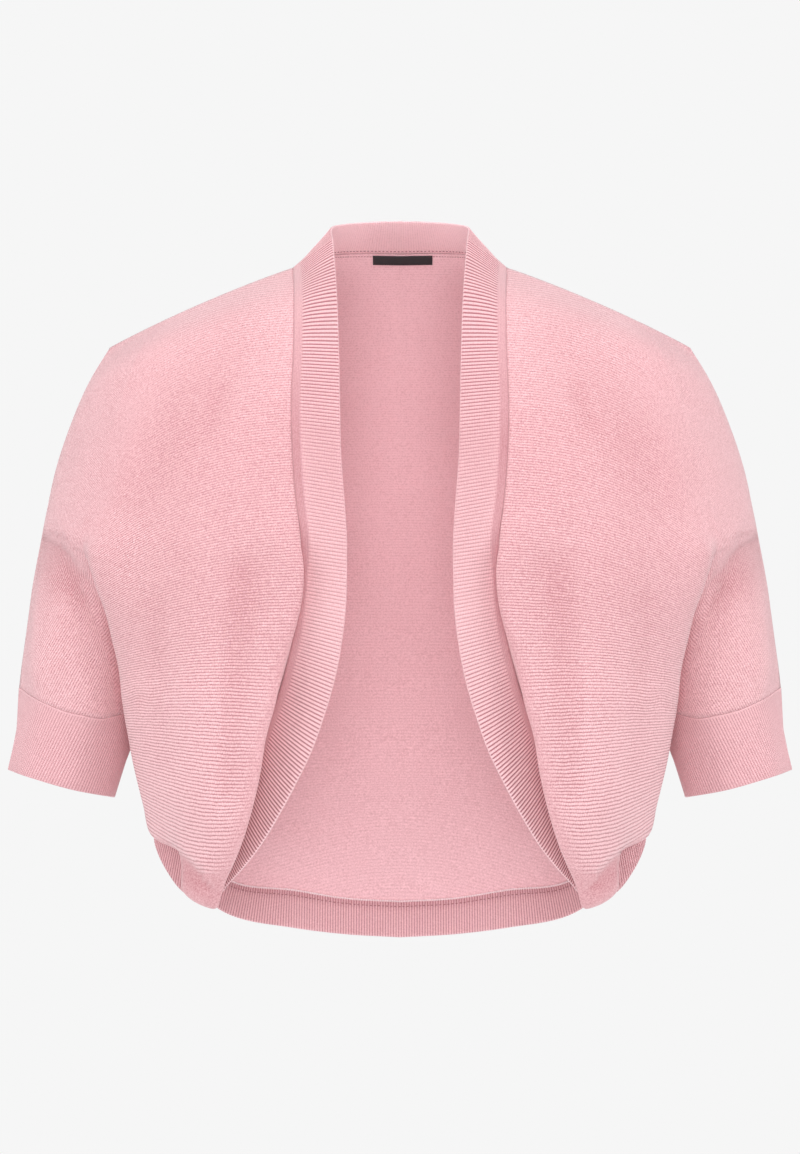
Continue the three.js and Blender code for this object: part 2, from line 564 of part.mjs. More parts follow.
// Colours, and a mesh for every piece.
const colours = { knit_body: 0xf2c0c6, knit_rib: 0xe6b1b7, label_satin: 0x1e1b1c };
function meshOf(name, solid, slot) {
  const geometry = new THREE.BufferGeometry();
  geometry.setAttribute('position', new THREE.Float32BufferAttribute(solid.points.flat(), 3));
  geometry.setIndex(solid.faces.flat());
  const material = new THREE.MeshStandardMaterial({ color: colours[slot], roughness: 0.9 });
  const mesh = new THREE.Mesh(geometry, material);
  material.name = slot;
  mesh.name = name;
  return mesh;
}

const group = new THREE.Group();
group.add(meshOf('front_left', wall(frontLeft, panelThick), 'knit_body'));
group.add(meshOf('front_right', wall(frontRight, panelThick), 'knit_body'));
group.add(meshOf('back', wall(back, panelThick), 'knit_body'));
group.add(meshOf('cuff_left', ribbed(cuffLeft, bandMoves[2]), 'knit_rib'));
group.add(meshOf('cuff_right', ribbed(cuffRight, bandMoves[3]), 'knit_rib'));
group.add(meshOf('band_neck', ribbed(neckBand, bandMoves[0]), 'knit_rib'));
group.add(meshOf('band_hem', ribbed(hemBand, bandMoves[1]), 'knit_rib'));
group.add(meshOf('label', label(), 'label_satin'));
export default group;
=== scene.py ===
# Knitted shrug in its worn form with nobody in it: two fronts, a back, two ribbed cuffs, a ribbed
# band round the neck, front edges and bottom corners, a ribbed hem band and a plain satin label.
# Tables and sizes are in millimetres, meshes are made in metres. -Y is the front, +X the wearer's left.
import math

import bpy
import numpy as np
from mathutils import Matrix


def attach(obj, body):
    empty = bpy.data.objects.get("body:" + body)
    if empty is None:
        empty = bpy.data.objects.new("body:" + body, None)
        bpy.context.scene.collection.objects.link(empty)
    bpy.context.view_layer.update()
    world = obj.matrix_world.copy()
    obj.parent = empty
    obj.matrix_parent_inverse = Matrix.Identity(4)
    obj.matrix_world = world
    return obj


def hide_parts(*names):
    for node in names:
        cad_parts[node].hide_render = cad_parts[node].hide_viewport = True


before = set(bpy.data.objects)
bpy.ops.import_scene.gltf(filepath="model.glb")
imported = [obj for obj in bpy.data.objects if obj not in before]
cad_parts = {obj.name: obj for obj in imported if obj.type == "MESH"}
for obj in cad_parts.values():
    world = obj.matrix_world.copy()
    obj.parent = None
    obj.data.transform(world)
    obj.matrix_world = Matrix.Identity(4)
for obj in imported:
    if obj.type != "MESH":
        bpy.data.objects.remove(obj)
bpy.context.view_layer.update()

# The camera, level with the middle of the garment, four metres in front.
camera_away = 4000
camera_height = -233
frame_tall = 854
sensor_wide = 36
camera_data = bpy.data.cameras.new("camera")
camera_data.sensor_width = sensor_wide
camera_data.lens = sensor_wide * camera_away / frame_tall
camera_data.clip_end = 100
camera = bpy.data.objects.new("camera", camera_data)
camera.location = (0, -camera_away / 1000, camera_height / 1000)
camera.rotation_euler = (math.radians(90), 0, 0)
bpy.context.scene.collection.objects.link(camera)
bpy.context.scene.camera = camera
bpy.context.scene.view_settings.view_transform = "Standard"
bpy.context.scene.view_settings.look = "None"


# Materials: a Term is a socket that takes part in Python sums, a Shader is the node tree being built.
class Term:
    def __init__(self, shader, socket):
        self.shader = shader
        self.socket = socket

    def math(self, operation, *others):
        return self.shader.node("Math", {"operation": operation}, dict(enumerate([self, *others])))

    def __add__(self, other):
        return self.math("ADD", other)

    def __radd__(self, other):
        return self.math("ADD", other)

    def __mul__(self, other):
        return self.math("MULTIPLY", other)

    def __rmul__(self, other):
        return self.math("MULTIPLY", other)

    def __sub__(self, other):
        return self.math("SUBTRACT", other)

    def __rsub__(self, other):
        return self * -1 + other

    def __pow__(self, other):
        return self.math("POWER", other)

    def held(self):
        """The value kept between 0 and 1."""
        return self.math("MAXIMUM", 0.0).math("MINIMUM", 1.0)


class Shader:
    def __init__(self, name, blocks=bpy.data.materials):
        self.block = blocks.new(name)
        self.block.use_nodes = True
        self.tree = self.block.node_tree
        self.tree.nodes.clear()

    def node(self, kind, settings, sockets, out=0):
        """A node with its settings and the values or links of its sockets, as the Term of one output."""
        made = self.tree.nodes.new("ShaderNode" + kind)
        for key, value in settings.items():
            setattr(made, key, value)
        for key, value in sockets.items():
            if isinstance(value, Term):
                self.tree.links.new(value.socket, made.inputs[key])
            else:
                made.inputs[key].default_value = value
        return Term(self, made.outputs[out]) if made.outputs else None

    def mixed(self, share, a, b):
        """Colour a where share is 0, colour b where it is 1."""
        return self.node("Mix", {"data_type": "RGBA"}, {0: share, 6: a, 7: b}, out=2)

    def zones(self):
        """The four values that each point of a knit piece carries."""
        colour = self.node("Attribute", {"attribute_name": "zones"}, {}, out="Color")
        fourth = self.node("Attribute", {"attribute_name": "zones"}, {}, out="Alpha")
        return [self.node("SeparateColor", {}, {"Color": colour}, out=k) for k in range(3)] + [fourth]

    def noise(self, size_mm, detail=2.0):
        """Noise from 0 to 1 with features of about this size, in the piece's own coordinates."""
        place = self.node("TexCoord", {}, {}, out="Object")
        scale = 1000 / size_mm
        return self.node("TexNoise", {}, {"Vector": place, "Scale": scale, "Detail": detail})

    def finish(self, colour, height, height_mm, roughness=0.85, sheen=0.4):
        """A cloth surface with this colour and a relief of height times height_mm."""
        bump = self.node("Bump", {}, {"Height": height, "Distance": height_mm / 1000, "Strength": 1.0})
        fixed = {"Base Color": colour, "Normal": bump, "Roughness": roughness, "Sheen Weight": sheen,
                 "Sheen Roughness": 0.5, "Specular IOR Level": 0.25}
        surface = self.node("BsdfPrincipled", {}, fixed)
        self.node("OutputMaterial", {}, {"Surface": surface})
        return self.block


def sight(red, green, blue):
    """A screen colour from 0 to 255 as the light values that a shader takes."""
    share = np.array([red, green, blue]) / 255
    return (*np.where(share > 0.04045, ((share + 0.055) / 1.055) ** 2.4, share / 12.92), 1.0)


# The floor: a wide pale sheet far below the garment, in the same tone as the surround behind it.
floor_height = -1400
floor_half = 40000
floor_corners = [(x * floor_half / 1000, y * floor_half / 1000, floor_height / 1000)
                 for x, y in [(-1, -1), (1, -1), (1, 1), (-1, 1)]]
floor_mesh = bpy.data.meshes.new("floor")
floor_mesh.from_pydata(floor_corners, [], [(0, 1, 2, 3)])
floor = bpy.data.objects.new("floor", floor_mesh)
bpy.context.scene.collection.objects.link(floor)
backdrop_tone = sight(246, 246, 246)
paper = Shader("floor_paper")
glow = paper.node("Emission", {}, {"Color": backdrop_tone, "Strength": 1.0})
paper.node("OutputMaterial", {}, {"Surface": glow})
floor_mesh.materials.append(paper.block)

# Soft studio light: an even white surround, and broad lamps by the camera, above, beside and behind.
surround_light = 0.44
surround = Shader("surround", bpy.data.worlds)
lit = surround.node("Background", {}, {"Color": (1, 1, 1, 1), "Strength": surround_light})
seen = surround.node("Background", {}, {"Color": backdrop_tone})
to_camera = surround.node("LightPath", {}, {}, out="Is Camera Ray")
either = surround.node("MixShader", {}, {0: to_camera, 1: lit, 2: seen})
surround.node("OutputWorld", {}, {"Surface": either})
bpy.context.scene.world = surround.block
lamps = [
    # name, place, size, power in watts
    ("front", (0, -4300, -50), 2200, 47),
    ("above", (0, -1600, 3000), 1800, 62),
    ("right", (3200, -1600, 400), 1800, 41),
    ("left", (-3200, -1600, 400), 1800, 41),
    ("behind", (0, 4300, 900), 2200, 70),
]
for name, place, wide, power in lamps:
    lamp_data = bpy.data.lights.new(name, "AREA")
    lamp_data.size = wide / 1000
    lamp_data.energy = power
    lamp = bpy.data.objects.new(name, lamp_data)
    lamp.location = [v / 1000 for v in place]
    aim = np.array([0, 0, camera_height]) - np.array(place)
    lamp.rotation_euler = [math.acos(-aim[2] / np.linalg.norm(aim)), 0, math.atan2(-aim[0], aim[1])]
    lamp.visible_camera = False
    bpy.context.scene.collection.objects.link(lamp)


# The fronts: each front and its half sleeve are one panel of fine knit, sewn to the band along its
# inner edge. The cloth folds over the sleeve and rolls over the band before it meets the hem.
shortest_step = 0.01


def smooth(points, steps):
    """A smooth curve through the points, each stretch cut into its number of equal steps."""
    points = np.asarray(points, float)
    rise = np.diff(points, axis=0)
    long = np.maximum(np.linalg.norm(rise, axis=-1, keepdims=True), shortest_step)
    slope = rise / long
    inner = (slope[:-1] * long[1:] + slope[1:] * long[:-1]) / (long[:-1] + long[1:])
    lean = np.concatenate([slope[:1], inner, slope[-1:]])
    out = [points[:1]]
    for i, count in enumerate(steps):
        t = (np.arange(1, count + 1) / count).reshape((-1,) + (1,) * (points.ndim - 1))
        ends = points[i] * (2 * t**3 - 3 * t**2 + 1) + points[i + 1] * (3 * t**2 - 2 * t**3)
        out.append(ends + (lean[i] * (t**3 - 2 * t**2 + t) + lean[i + 1] * (t**3 - t**2)) * long[i])
    return np.concatenate(out)


def loft(rows, across, down):
    """A grid of points, smooth along each row and down each column."""
    return smooth([smooth(row, across) for row in rows], down)


def reach(points, axis=0):
    """Length along a line or down a grid's columns, or along its rows (axis 1), at every point."""
    long = np.linalg.norm(np.diff(points, axis=axis), axis=-1)
    nought = np.zeros_like(np.take(long, [0], axis))
    return np.concatenate([nought, np.cumsum(long, axis=axis)], axis=axis)


def sampled(line, along, places):
    """Points of a line at these places, where along holds the place of each of its own points."""
    return np.stack([np.interp(places, along, line[:, k]) for k in range(3)], axis=-1)


def evenly(line, count):
    """Points at equal steps of length along a line."""
    along = reach(line)
    return sampled(line, along, np.linspace(0, along[-1], count))


def read_off(places, pairs):
    """Values at these places, from a table's pairs of place and value."""
    return np.interp(places, *np.array(pairs, float).T)


# Height at the band seam, height at the top of the arm, lift of the middle, then the distance out and the
# depth of edge, roll, chest, flank, hip, crest, crook, arm_in, arm, arm_out and over.
front_upper = [
    (-4, -63, 3, (79, 4), (88, 3), (105, 3), (132, 4), (150, 4), (165, 4), (180, 4), (190, 5), (198, 5),
     (207, 5), (215, 5)),
    (-32, -91, 4, (77.5, -51), (86, -52), (105, -52), (135, -50), (158, -47), (175, -44), (192, -39),
     (206, -32), (218, -22), (227, -9), (231, 5)),
    (-72, -124, 3, (77.6, -80), (87, -81), (106, -80), (138, -76), (163, -70), (184, -61), (204, -49),
     (219, -37), (231, -24), (241, -9), (245, 5)),
    (-105, -155, 2, (78.7, -96), (88, -98), (110, -98.5), (143, -94), (170, -86), (193, -75), (213, -60),
     (229, -46), (242, -29), (251, -12), (255, 5)),
    (-140, -182, 0, (78, -108), (88, -109), (112, -109.5), (147, -104), (174, -94.5), (200, -82),
     (221, -64), (236, -48), (248, -31), (257, -13), (260.8, 5)),
    (-178, -203, 0, (75, -114.5), (85, -116), (112, -116.5), (149, -110.5), (180, -99.5), (213, -82),
     (230, -64), (241, -50), (252, -34), (261, -14), (265, 5)),
    (-203, -218, 0, (72, -116), (74, -120), (112, -118.5), (151, -112.5), (185, -101), (225, -79),
     (229, -64), (239, -52), (252, -37), (263, -15), (268, 5)),
    (-225, -240, 0, (72.5, -113), (70, -121), (111, -119), (152, -113), (186, -101), (221, -80),
     (215, -55), (228, -47), (248, -38), (265, -17), (272, 5)),
    (-249, -262, 0, (74.5, -110), (71, -120), (112, -118.5), (152, -112), (184, -99.5), (213, -78),
     (204, -45), (219, -45), (244, -40), (267, -20), (275, 5)),
    (-271, -284, 0, (77, -107), (76, -118.5), (116, -117), (152, -110.5), (181, -96), (207.5, -74),
     (195, -28), (211, -42), (238, -43), (268, -23), (278, 5)),
    (-294, -302, 0, (82, -101), (83.5, -116), (120, -115), (152, -108), (179, -92), (203, -68), (190, -13),
     (206, -37), (232, -44), (267, -27), (280.5, 5)),
]
# Sections below the underarm point: edge, roll, chest, flank, hip, crest, side, each out, depth, height.
front_lower = [
    ((88, -93, -316), (90.5, -112, -325), (124, -112.5, -323), (152, -105, -323), (178, -87, -324),
     (200, -62, -325), (188, 0, -330)),
    ((96, -84, -337), (97, -107, -348), (127, -108, -348), (152, -100, -347), (176, -80, -347),
     (197.5, -51, -348), (185, 6, -343)),
    ((104, -74, -358), (101.5, -101, -375), (129, -103, -374), (151, -95, -372), (174, -74, -371),
     (194, -42, -371), (183.5, 12, -356)),
    ((113, -61, -379), (107.5, -94, -401), (131, -97, -401), (150.5, -88, -398), (172, -66, -394),
     (189.5, -34, -392), (182.5, 18, -368)),
    ((124, -47, -399), (116, -83, -428), (135, -87, -428), (151, -76, -423), (168, -55, -415),
     (186, -28, -407), (181.7, 22, -378)),
    ((134, -36, -414), (127.3, -65, -454), (142, -68, -455), (155, -58, -446), (164, -46, -429),
     (184, -24, -417), (181.2, 25.2, -382)),
    ((142, -27, -425), (136.5, -48, -475), (147, -46, -471.5), (159, -39, -462), (158, -36, -439),
     (182.5, -19, -423), (180.8, 27, -385)),
    ((146, -22, -431), (144, -40, -462), (150, -37, -461), (159, -29, -452), (159.5, -22, -434),
     (178, -3, -413), (180.4, 28, -387.3)),
    ((150, -19, -435.5), (150, -19, -435.5), (153, -13, -434), (157, -6, -428), (164, 3, -415),
     (173, 15, -401), (180, 29, -389.5)),
]
# How far the hidden tuck behind the roll stands off the line from band seam to roll: out, depth, height.
tuck_off = [(3, 0, 1), (4, -1, 2), (4, -1, 3), (5, -1, 4), (5, -1, 6), (8, -3, 7), (8, -4, 9), (6, -4, 4),
            (0, 0, 0)]
sleeve_end_front = [(203, -26, -334), (227, -42, -336), (260, -32, -326), (282, 5, -315)]
front_across = [4, 4, 10, 14, 10, 10, 12]
sleeve_across = [8, 8, 8, 8]
upper_down = [14, 14, 12, 12, 12, 9, 8, 9, 8, 8, 8]
lower_down = [9, 9, 9, 9, 9, 8, 5, 5]


def placed(row, pairs, inner, inner_height):
    """Points of an upper section: heights run straight from inner to outer, raised by the lift."""
    out, depth = np.array(pairs, float).T
    share = (out - inner) / (row[-1][0] - inner)
    height = inner_height + (row[1] - inner_height) * share + row[2] * 4 * share * (1 - share)
    return np.stack([out, depth, height], axis=1)


def with_tuck(points, off):
    """A section with one more point between its edge and its roll, this far off their middle."""
    middle = (np.array(points[0]) + points[1]) / 2 + off
    return np.vstack([points[:1], [middle], points[1:]])


front_rows = [placed(row, row[3:], row[3][0], row[0]) for row in front_upper]
crook = 6
body_rows = [with_tuck(row[:crook + 1], (0, 0, 0)) for row in front_rows]
body_rows += [with_tuck(np.array(row), off) for row, off in zip(front_lower, tuck_off)]
underarm = front_lower[0][-1]
sleeve_rows = [row[crook:] for row in front_rows] + [np.array([underarm, *sleeve_end_front])]
front_body = loft(body_rows, front_across, upper_down + lower_down)
front_sleeve = loft(sleeve_rows, sleeve_across, upper_down)

# Creases of the worn fronts, each along a line between two points in out and height: how far it reaches
# on the near side (towards the middle or above) and on the far side, and how far it stands proud (a
# ridge) or lies back (a trough, below nought).
creases = [
    (112, -230, 124, -385, 13, 13, -2.2),
    (150, -215, 146, -400, 15, 15, 1.3),
    (176, -250, 168, -370, 10, 10, -1.0),
    (128, -98, 137, -122, 7, 7, -1.3),
    (118, -60, 190, -170, 22, 22, -1.2),
    (243, -250, 262, -300, 9, 9, 1.2),
    (186, -312, 204, -318, 5, 5, 0.9),
    (186, -322, 204, -328, 5, 5, -0.8),
    # the fold over the sleeve, from the outer edge to the crook
    (284, -191, 262, -198, 28, 4, 2.8),
    (260, -199, 241, -209, 24, 4, 3.2),
    (240, -211, 231, -226, 16, 3, 2.8),
    (284, -198, 262, -205, 3, 22, -2.2),
    (261, -206, 243, -216, 3, 24, -3.0),
    (242, -218, 234, -236, 3, 22, -3.0),
    # the fold that hangs over the smooth corner
    (162, -429, 147, -440, 7, 3, 2.4),
    (158, -437, 146, -449, 3, 12, -6.0),
]


# A crease fades in over this many points from a seam, and the painted shade of a trough deepens down to
# this depth.
fade_steps = 6
darkest_depth = 3


def creased(grid, table, outward, side_seam_row):
    """The grid with a table's creases pressed in along Y, and how deep each point lies in a trough.
    outward is -1 on a front and 1 on the back. The grid's first and last rows are seams and stay put,
    and so does its last column from side_seam_row on."""
    out, height = np.abs(grid[..., 0]), grid[..., 2]
    lift = np.zeros(out.shape)
    for x1, z1, x2, z2, near_half, far_half, proud in table:
        way = np.array([x2 - x1, z2 - z1], float)
        share = ((out - x1) * way[0] + (height - z1) * way[1]) / (way @ way)
        nearest = np.clip(share, 0, 1)
        away = np.hypot(out - x1 - nearest * way[0], height - z1 - nearest * way[1])
        side = (out - x1) * way[1] - (height - z1) * way[0]
        lift += proud * np.exp(-((away / np.where(side > 0, near_half, far_half)) ** 2))
    rows, columns = np.indices(out.shape)
    last_row, last_column = out.shape[0] - 1, out.shape[1] - 1
    to_side = np.maximum(last_column - columns, side_seam_row - rows)
    rim = np.minimum.reduce([rows, last_row - rows, to_side])
    lift *= np.clip(rim / fade_steps, 0, 1)
    moved = grid.copy()
    moved[..., 1] += outward * lift
    return moved, np.clip(-lift, 0, darkest_depth)


underarm_row = sum(upper_down)
body_rim = np.clip(np.arange(front_body.shape[1]) / fade_steps, 0, 1)[None, :, None]
pressed, body_trough = creased(front_body, creases, -1, underarm_row)
front_body = front_body + (pressed - front_body) * body_rim
front_sleeve, sleeve_trough = creased(front_sleeve, creases, -1, 0)
# The cuff's seam waves: number of the point across the sleeve, and how far it lies up or down. The row
# of points above the seam moves half as far.
seam_wave = [(0, 0), (4, -0.7), (9, 0.5), (13, -0.8), (17, 0.9), (21, -0.3), (26, 0.2), (32, 0)]
wave = read_off(np.arange(front_sleeve.shape[1]), seam_wave) * np.array([[0.5], [1.0]])
front_sleeve[-2:, :, 2] += wave

# Lean of a front's knit lines in degrees, rising towards the middle: a row for each height, a value for
# each distance out.
lean_out = [0, 72, 111, 148, 180, 205, 235, 285]
lean_rows = [
    (-20, 0, 2, 8, 20, 31, 40, 50, 55),
    (-130, 0, 2, 8, 20, 31, 40, 50, 55),
    (-180, 0, 2, 7, 18, 28, 38, 48, 50),
    (-250, 0, 1, 5, 10, 20, 30, 35, 35),
    (-324, 0, 0, -4, 0, 4, 8, 10, 10),
    (-383, 0, 4, 3, -10, -18, -22, -22, -22),
    (-413, 0, 14, 12, -8, -32, -38, -38, -38),
    (-470, 0, 20, 16, -6, -34, -40, -40, -40),
]
# Leans add up in steps from the anchor's distance out, where the lines keep their height.
lean_anchor = 150
lean_step = 2.0
widest_out = 300
highest = 200
# Height, and the spacing of the knit lines there at the anchor's distance out.
line_spacing = [(-520, 3.0), (-413, 2.85), (-330, 2.4), (-294, 2.05), (-250, 1.9), (60, 1.8)]
# Small waves of the lines: out, height, half width, half height, and how far a line is pushed down.
line_waves = [(203, -318, 7, 9, 1.6), (190, -321, 6, 9, -1.6), (178, -322, 7, 9, 1.2)]
# Spacing and lean of the knit lines over the sleeve, and the length of a stitch.
arm_spacing = 2.2
arm_lean = math.radians(36)
stitch_long = 1.25


def line_count(points):
    """Number of knit lines from below the hem up to each point of a body grid."""
    out, height = np.abs(points[..., 0]), points[..., 2]
    across = np.arange(0, widest_out, lean_step)
    leans = np.radians([np.interp(across, lean_out, row[1:]) for row in lean_rows])
    offsets = np.cumsum(np.tan(leans), axis=1) * lean_step
    offsets -= offsets[:, np.searchsorted(across, lean_anchor)][:, None]
    shifts = np.stack([np.interp(out, across, line) for line in offsets])
    place = np.interp(-height, [-row[0] for row in lean_rows], range(len(lean_rows)))
    low = np.minimum(place.astype(int), len(lean_rows) - 2)
    above = np.take_along_axis(shifts, low[None], 0)[0]
    below = np.take_along_axis(shifts, low[None] + 1, 0)[0]
    start = height + above + (below - above) * (place - low)
    for x, z, wide, tall, shift in line_waves:
        start += shift * np.exp(-(((out - x) / wide) ** 2) - ((height - z) / tall) ** 2)
    heights = np.arange(line_spacing[0][0], highest, 1.0)
    return np.interp(start, heights, np.cumsum(1 / read_off(heights, line_spacing)))


def knit_of(grid, before, after, arm_share, depth, painted_shade=0):
    """Data of each point: stitch and line on the body, stitch and line on the arm, then the zones: share
    of the arm's lines, depth of the lines, whether it is inside, and its painted shade. before and after
    are the lengths of the rows of cloth on either side of this grid."""
    across = reach(grid, 1)
    down = reach(grid)
    body = np.stack([(before + across) / stitch_long, line_count(grid)], axis=-1)
    over = after + across[:, -1:] - across
    arm = (over * math.cos(arm_lean) + down * math.sin(arm_lean)) / arm_spacing
    arm = np.stack([down / stitch_long, arm], axis=-1)
    zones = np.stack([arm_share, depth, 0 * depth, painted_shade + 0 * depth], axis=-1)
    return np.concatenate([body, arm, zones], axis=-1)


def row_lengths(grid, rows):
    """Length of each row of a grid as a column, the last one repeated to this number of rows."""
    long = reach(grid, 1)[:, -1]
    return np.concatenate([long, np.full(max(rows - len(long), 0), long[-1])])[:rows, None]


def eased(share):
    """A share from 0 to 1 that starts and ends gently."""
    share = np.clip(share, 0, 1)
    return share * share * (3 - 2 * share)


def line_depth(points):
    """How strongly the knit lines show: faint at the shoulders, strong low on the front."""
    return read_off(points[..., 2], [(-420, 1.0), (-330, 0.8), (-250, 0.65), (-150, 0.5), (0, 0.4)])


def chest_painted_shade(points):
    """Painted shade: the cloth is coloured a little darker over the chest, and about half as much over the
    arm.
    """
    by_height = read_off(points[..., 2], [(-340, 0), (-250, 0.14), (-130, 0.14), (-50, 0)])
    return by_height * read_off(points[..., 0], [(160, 1), (225, 0.55)])


# Where the body's lines give way to the arm's: from the hip or the crest out to the crook.
hip_column = sum(front_across[:5])
crest_column = sum(front_across[:6])
crook_column = sum(front_across)
fold_rows = [sum(upper_down[:4]), sum(upper_down[:6])]
rows, columns = np.indices(front_body.shape[:2])
arm_start = np.interp(rows, fold_rows, [hip_column, crest_column])
body_arm_share = eased((columns - arm_start) / (crook_column - arm_start))
# The knit lines fade towards the rolled edge, in a strip that widens to the smooth corner at the bottom.
roll_column = sum(front_across[:2])
from_roll = reach(front_body, 1)
from_roll = from_roll - from_roll[:, roll_column:roll_column + 1]
smooth_strip = read_off(front_body[..., 2], [(-443, 22), (-400, 17), (-250, 12)])
strip_fade = 0.8
corner_fade = 0.95
corner_blend = 4
# Painted shade on the smooth corner, which lies in shadow under the fold that hangs over it.
corner_painted_shade = 0.05
# Painted shade in the creases' troughs, for each millimetre of depth.
trough_painted_shade = 0.07
sleeve_line_depth = 0.62
# Height where the smooth corner begins, for each distance out.
corner_edge = [(115, -443), (125, -445), (135, -448), (146, -447), (149, -442), (158, -435), (175, -424)]
low_share = read_off(front_body[..., 2], [(-300, 1), (-200, 0)])
corner_top = read_off(front_body[..., 0], corner_edge)
smooth_corner = eased((corner_top - front_body[..., 2]) / corner_blend + 0.5)
body_depth = line_depth(front_body) * (1 - strip_fade * low_share * (1 - eased(from_roll / smooth_strip)))
body_depth *= 1 - corner_fade * smooth_corner
# Painted shade of the fronts: darker colour on the smooth corner under the fold, over the chest and in the
# creases' troughs.
body_painted_shade = corner_painted_shade * smooth_corner + chest_painted_shade(front_body) + trough_painted_shade * body_trough
sleeve_painted_shade = chest_painted_shade(front_sleeve) + trough_painted_shade * sleeve_trough
all_arm = np.ones(front_sleeve.shape[:2])
front_parts = [
    (front_body, knit_of(front_body, 0, row_lengths(front_sleeve, len(front_body)), body_arm_share,
                         body_depth, body_painted_shade)),
    (front_sleeve, knit_of(front_sleeve, row_lengths(front_body, len(front_sleeve)), 0, all_arm,
                           sleeve_line_depth * all_arm, sleeve_painted_shade)),
]


def quads(numbers, flip):
    """The faces between neighbours in a grid of point numbers."""
    corners = [numbers[:-1, :-1], numbers[:-1, 1:], numbers[1:, 1:], numbers[1:, :-1]]
    return np.stack([c.ravel() for c in (corners[::-1] if flip else corners)], axis=1).tolist()


# Points that agree to a two-hundredth of a millimetre are one. No length is divided by less than tiny.
weld_share = 200
tiny = 1e-9


class Surface:
    """Grids joined where they share points: points, faces, unit normals and the data of each point."""

    def __init__(self, parts, turned):
        points = np.concatenate([grid.reshape(-1, 3) for grid, _ in parts])
        data = np.concatenate([values.reshape(-1, values.shape[-1]) for _, values in parts])
        _, first, index = np.unique(np.round(points * weld_share), axis=0, return_index=True,
                                    return_inverse=True)
        index = index.ravel()
        self.points, self.data = points[first], data[first]
        self.faces = []
        start = 0
        for (grid, _), flip in zip(parts, turned):
            high, wide = grid.shape[:2]
            numbers = index[start:start + high * wide].reshape(high, wide)
            start += high * wide
            self.faces += [list(dict.fromkeys(q)) for q in quads(numbers, flip) if len(set(q)) > 2]

    def normals(self):
        sums = np.zeros_like(self.points)
        fours = np.array([f if len(f) == 4 else [*f, f[0]] for f in self.faces])
        a, b, c, d = (self.points[fours[:, k]] for k in range(4))
        normal = np.cross(c - a, d - b)
        for k in range(4):
            np.add.at(sums, fours[:, k], normal)
        return sums / np.maximum(np.linalg.norm(sums, axis=1, keepdims=True), tiny)

    def rim(self):
        """Edges that only one face has, each as the two points in that face's order."""
        edges = {(f[k - 1], f[k]) for f in self.faces for k in range(len(f))}
        return [(a, b) for a, b in edges if (b, a) not in edges]


def piece(name, points, faces, layers, zones, material, node):
    """An object with these points, faces, UV layers and zones, which stands for the CAD node."""
    mesh = bpy.data.meshes.new(name)
    mesh.from_pydata(points / 1000, [], faces)
    corner = np.zeros(len(mesh.loops), np.int32)
    mesh.loops.foreach_get("vertex_index", corner)
    for layer, values in layers.items():
        mesh.uv_layers.new(name=layer).data.foreach_set("uv", values[corner].astype(np.float32).ravel())
    shades = mesh.color_attributes.new("zones", "FLOAT_COLOR", "POINT")
    shades.data.foreach_set("color", zones.astype(np.float32).ravel())
    mesh.shade_smooth()
    mesh.materials.append(material)
    made = bpy.data.objects.new(name, mesh)
    bpy.context.scene.collection.objects.link(made)
    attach(made, "root")
    if node:
        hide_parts(node)
    return made


# A wall stops this far short of its seam and has this share of its thickness there. The third of a
# panel's zones, counted from the start of a point's data, says that it is inside.
seam_gap = 0.12
rim_share = 0.45
inside_place = 6


def panel(name, parts, turned, thick, material, node):
    """A wall of one thickness on joined grids, thinner at its cut edges, just short of the seam."""
    surface = Surface(parts, turned)
    normal = surface.normals()
    half = np.full(len(surface.points), thick / 2)
    along = np.zeros_like(surface.points)
    rim = surface.rim()
    for a, b in rim:
        way = surface.points[b] - surface.points[a]
        along[[a, b]] += way / max(np.linalg.norm(way), tiny)
        half[[a, b]] = thick / 2 * rim_share
    inward = np.cross(normal, along)
    inward /= np.maximum(np.linalg.norm(inward, axis=1, keepdims=True), tiny)
    middle = surface.points + inward * seam_gap
    count = len(middle)
    points = np.concatenate([middle + normal * half[:, None], middle - normal * half[:, None]])
    faces = surface.faces + [[i + count for i in f[::-1]] for f in surface.faces]
    faces += [[b, a, a + count, b + count] for a, b in rim]
    data = np.concatenate([surface.data, surface.data])
    data[count:, inside_place] = 1
    layers = {"lines": data[:, 0:2], "arm": data[:, 2:4]}
    return piece(name, points, faces, layers, data[:, 4:8], material, node)


